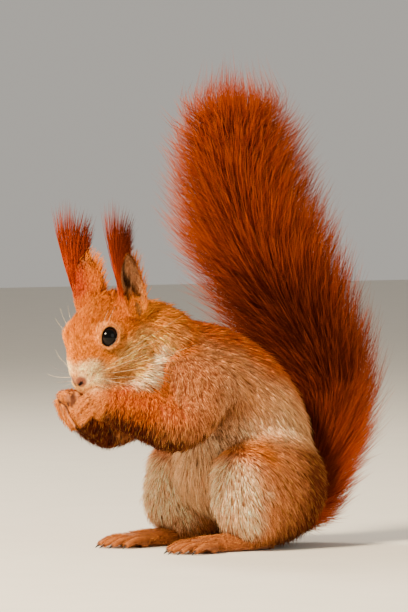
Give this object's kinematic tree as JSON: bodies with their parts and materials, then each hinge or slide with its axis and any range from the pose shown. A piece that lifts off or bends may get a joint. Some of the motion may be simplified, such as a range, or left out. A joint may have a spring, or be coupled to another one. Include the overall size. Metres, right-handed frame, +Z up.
{
  "type": "red squirrel figure",
  "caption": "Life-size still model of a tufted-eared red squirrel sitting up with hands at its mouth and its bushy tail raised behind its back.",
  "frame": {"origin": "on the ground, under the middle of the outline's bounding box", "axes": "+Z up, the animal faces -Y, its own left side is towards +X"},
  "size_m": [0.0936, 0.1862, 0.2391],
  "materials": {
    "face_coat": "short dense fur, orange-red, paler on the muzzle",
    "back_coat": "smooth dense fur, orange-brown",
    "flank_coat": "dense fur, grizzled grey-brown going to cream-white below",
    "arm_coat": "short bright orange fur",
    "leg_coat": "dense fur, pale in front and red-brown behind",
    "brush": "long loose hair, deep rust red",
    "ear": "thin ear with short fur and long dark tufts",
    "paw": "sparse short hair over tan skin, with dark claws",
    "nose_skin": "bare moist skin, dark pink-brown",
    "eye": "wet gloss, near black"
  },
  "bodies": {
    "root": {"belly": "flank_coat", "chest": "back_coat", "ear_left": "ear", "ear_right": "ear", "ear_tuft_left": "ear", "ear_tuft_right": "ear", "eye_left": "eye", "eye_right": "eye", "foot_left": "paw", "foot_right": "paw", "forearm_left": "arm_coat", "forearm_right": "arm_coat", "hand_left": "paw", "hand_right": "paw", "head": "face_coat", "neck": "back_coat", "nose": "nose_skin", "rump": "back_coat", "shank_left": "leg_coat", "shank_right": "leg_coat", "tail_lower": "brush", "tail_middle": "brush", "tail_root": "brush", "tail_tip": "brush", "tail_upper": "brush", "thigh_left": "leg_coat", "thigh_right": "leg_coat", "upper_arm_left": "arm_coat", "upper_arm_right": "arm_coat"}
  },
  "joints": []
}
